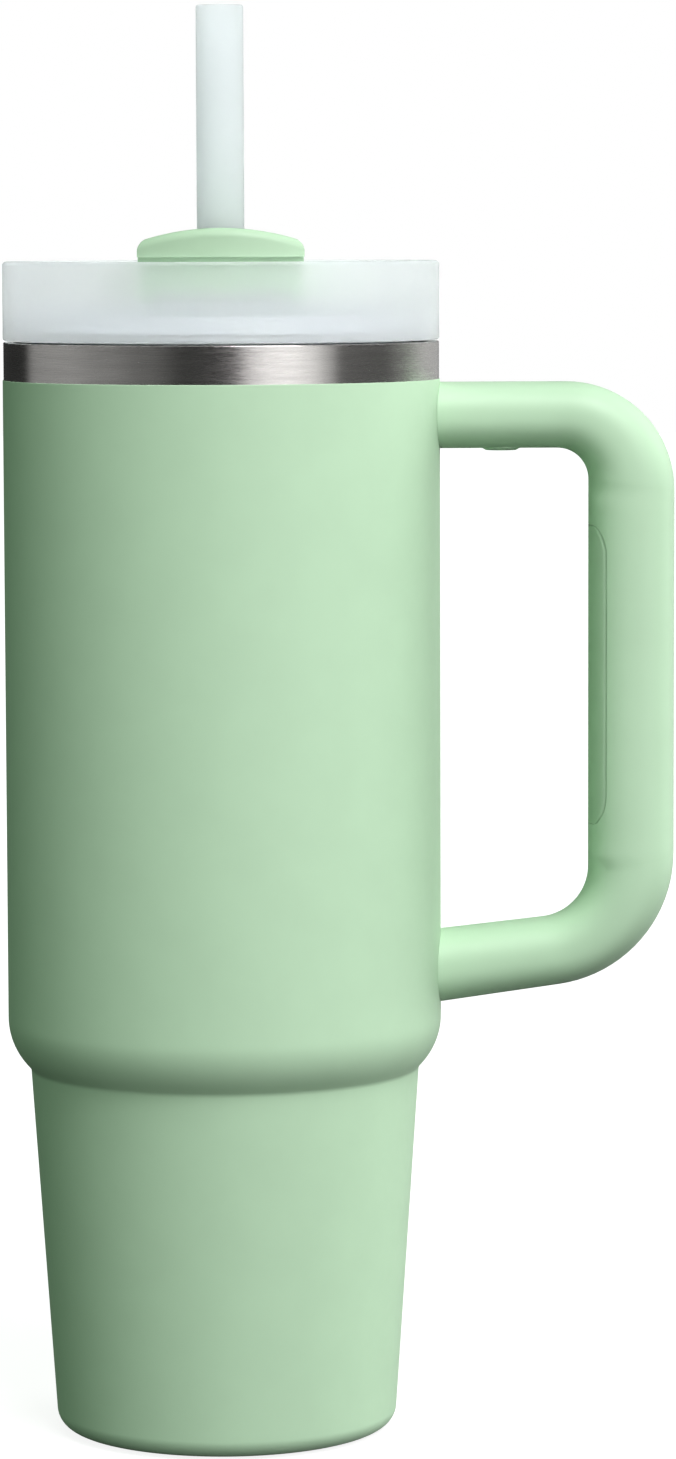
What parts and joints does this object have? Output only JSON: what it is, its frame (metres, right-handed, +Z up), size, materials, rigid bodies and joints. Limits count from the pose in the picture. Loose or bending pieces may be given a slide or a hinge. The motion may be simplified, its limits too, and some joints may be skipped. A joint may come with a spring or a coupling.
{
  "type": "insulated travel mug",
  "caption": "Tall double-wall steel travel mug with a side handle, a screw-on frosted lid, a rotary cover and a straight straw.",
  "frame": {"origin": "on the vessel's axis, at the plane it stands on", "axes": "+Z up along the vessel's axis, +X towards the handle, -Y is the front, where the straw stands"},
  "size_m": [0.1489, 0.0968, 0.3161],
  "materials": {
    "powder_coat": "fine-textured satin powder coat",
    "steel": "turned and brushed stainless steel",
    "seal_glass": "glass solder bead",
    "getter_alloy": "sintered pill",
    "handle_plastic": "satin moulding",
    "soft_grip": "soft-touch",
    "cover_plastic": "satin moulding",
    "frosted_plastic": "frosted translucent",
    "straw_plastic": "frosted translucent",
    "silicone": "translucent silicone"
  },
  "bodies": {
    "cup": {"outer_shell": "powder_coat", "inner_liner": "steel", "outer_base": "steel", "base_cap": "steel", "vacuum_seal": "seal_glass", "getter_holder": "steel", "getter": "getter_alloy", "upper_bracket": "steel", "lower_bracket": "steel", "upper_screw": "steel", "lower_screw": "steel", "upper_screw_plug": "soft_grip", "lower_screw_plug": "soft_grip", "handle_frame": "handle_plastic", "grip_inlay": "soft_grip"},
    "lid_lift": {"lid_gasket": "silicone"},
    "lid": {"lid_body": "frosted_plastic", "straw_seal": "silicone"},
    "cover": {"rotary_cover": "cover_plastic", "cover_seal": "silicone", "stem_o_ring": "silicone", "cover_retainer": "frosted_plastic"},
    "straw": {"straw": "straw_plastic"}
  },
  "joints": [
    {"name": "lid_rise", "type": "slide", "parent": "cup", "child": "lid_lift", "axis": [0, 0, 1], "range_m": [0, 0.02501]},
    {"name": "lid_turn", "type": "hinge", "parent": "lid_lift", "child": "lid", "pos_m": [0, 0, 0.25], "axis": [0, 0, 1], "range_deg": [0, 600]},
    {"name": "cover_turn", "type": "hinge", "parent": "lid", "child": "cover", "pos_m": [0, 0, 0.26], "axis": [0, 0, 1], "range_deg": [0, 110]},
    {"name": "straw_pull", "type": "slide", "parent": "lid", "child": "straw", "axis": [0, 0, 1], "range_m": [0, 0.2635]}
  ],
  "couplings": [
    {"joint": "lid_rise", "follows": "lid_turn", "m_per_rad": 0.0023873}
  ]
}
